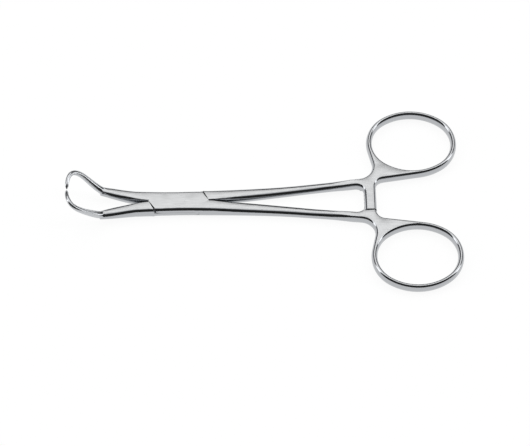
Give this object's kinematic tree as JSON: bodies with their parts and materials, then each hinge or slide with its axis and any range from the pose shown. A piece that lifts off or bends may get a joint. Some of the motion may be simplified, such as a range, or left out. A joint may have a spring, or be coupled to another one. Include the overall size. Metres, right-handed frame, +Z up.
{
  "type": "towel clamp",
  "caption": "Ring-handled locking clamp with a box-lock pivot, ratchet bars and upturned pointed prongs that grip drapes.",
  "frame": {"origin": "on the pivot axis, at the underside of the box lock, with the clamp closed and lying flat", "axes": "+X from the pivot towards the finger rings, +Y towards the ring of the through arm, +Z up along the pivot, the way the prongs turn up"},
  "size_m": [0.1329, 0.07, 0.0145],
  "materials": {
    "box_arm": "satin ground faces, polished sides",
    "through_arm": "satin ground faces, polished sides",
    "pivot_rivet": "satin, ground flush"
  },
  "bodies": {
    "box_half": {"box_arm": "box_arm", "pivot_rivet": "pivot_rivet"},
    "through_half": {"through_arm": "through_arm"}
  },
  "joints": [
    {"name": "box_lock", "type": "hinge", "parent": "box_half", "child": "through_half", "pos_m": [0, 0, 0.0023], "axis": [0, 0, 1], "range_deg": [0, 50]}
  ]
}
